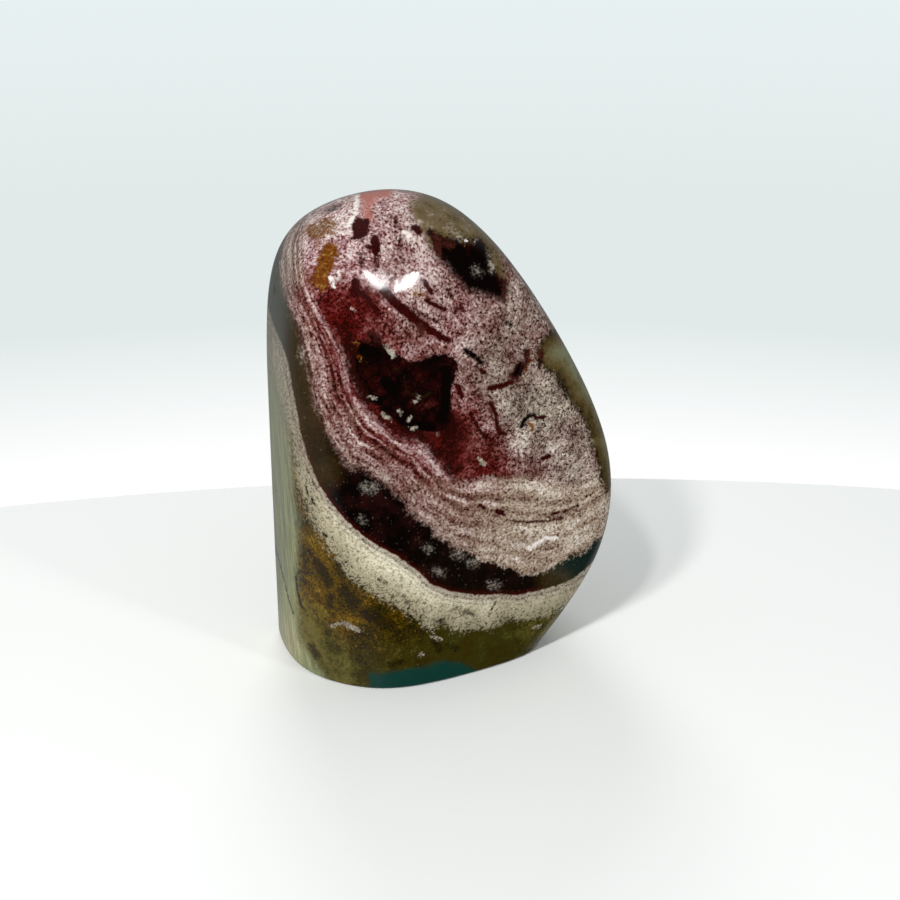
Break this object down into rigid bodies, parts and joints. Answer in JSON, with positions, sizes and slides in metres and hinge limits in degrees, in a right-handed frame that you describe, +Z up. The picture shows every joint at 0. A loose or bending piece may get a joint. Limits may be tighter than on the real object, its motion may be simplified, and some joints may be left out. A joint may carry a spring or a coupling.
{
  "type": "polished stone freeform",
  "caption": "Free-standing ocean jasper freeform: a polished, leaning block of banded and speckled stone with softly rolled edges and a flat sawn base to stand on",
  "frame": {"origin": "in the sawn base, under the middle of the stone's bounding box", "axes": "+Z up, the stone's long way; +X toward the right shoulder that the stone leans out to; the broad show face looks along -Y, and Y is the thin way"},
  "size_m": [0.069, 0.0463, 0.0952],
  "materials": {
    "jasper": "polished"
  },
  "bodies": {
    "root": {"stone": "jasper"}
  },
  "joints": []
}
